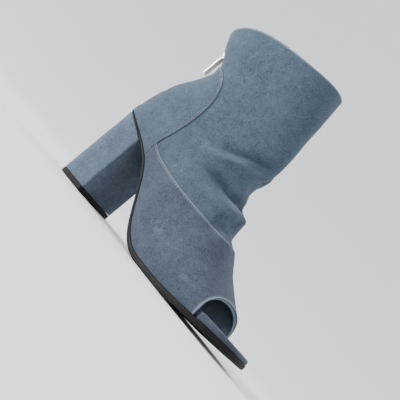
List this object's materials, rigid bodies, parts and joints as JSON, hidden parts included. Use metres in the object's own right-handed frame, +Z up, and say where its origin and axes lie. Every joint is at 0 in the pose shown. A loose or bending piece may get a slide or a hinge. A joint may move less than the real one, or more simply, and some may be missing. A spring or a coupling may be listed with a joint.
{
  "type": "peep toe ankle boot",
  "caption": "Right-foot peep toe ankle boot with a hollow suede upper, wrapped footbed, block heel and a zip up the back with a hinged pull tab.",
  "frame": {"origin": "centre of the heel's flat ground face, on the floor", "axes": "+X towards the toe, -Y the lateral (outer) side, +Z up"},
  "size_m": [0.2361, 0.0838, 0.212],
  "materials": {
    "upper_suede": "blue-grey suede, matte nap",
    "vamp_suede": "blue-grey suede, matte nap",
    "counter_suede": "blue-grey suede, matte nap",
    "footbed_suede": "blue-grey suede wrapped over the footbed",
    "heel_suede": "blue-grey suede wrapped over the block",
    "outsole_rubber": "black, satin",
    "top_piece_rubber": "black, matte",
    "zip_tape_cloth": "dark blue-grey woven tape",
    "zip_chain_metal": "dark coil",
    "zip_slider_metal": "plain metal",
    "zip_pull_metal": "plain metal"
  },
  "bodies": {
    "boot": {"upper": "upper_suede", "vamp": "vamp_suede", "counter": "counter_suede", "footbed": "footbed_suede", "outsole": "outsole_rubber", "heel_block": "heel_suede", "heel_top_piece": "top_piece_rubber", "zip_tape": "zip_tape_cloth", "zip_chain": "zip_chain_metal", "zip_slider": "zip_slider_metal"},
    "pull_tab": {"zip_pull": "zip_pull_metal"}
  },
  "joints": [
    {"name": "pull_tab_swing", "type": "hinge", "parent": "boot", "child": "pull_tab", "pos_m": [-0.01051, 0, 0.17082], "axis": [0, 1, 0], "range_deg": [-20, 135]}
  ]
}
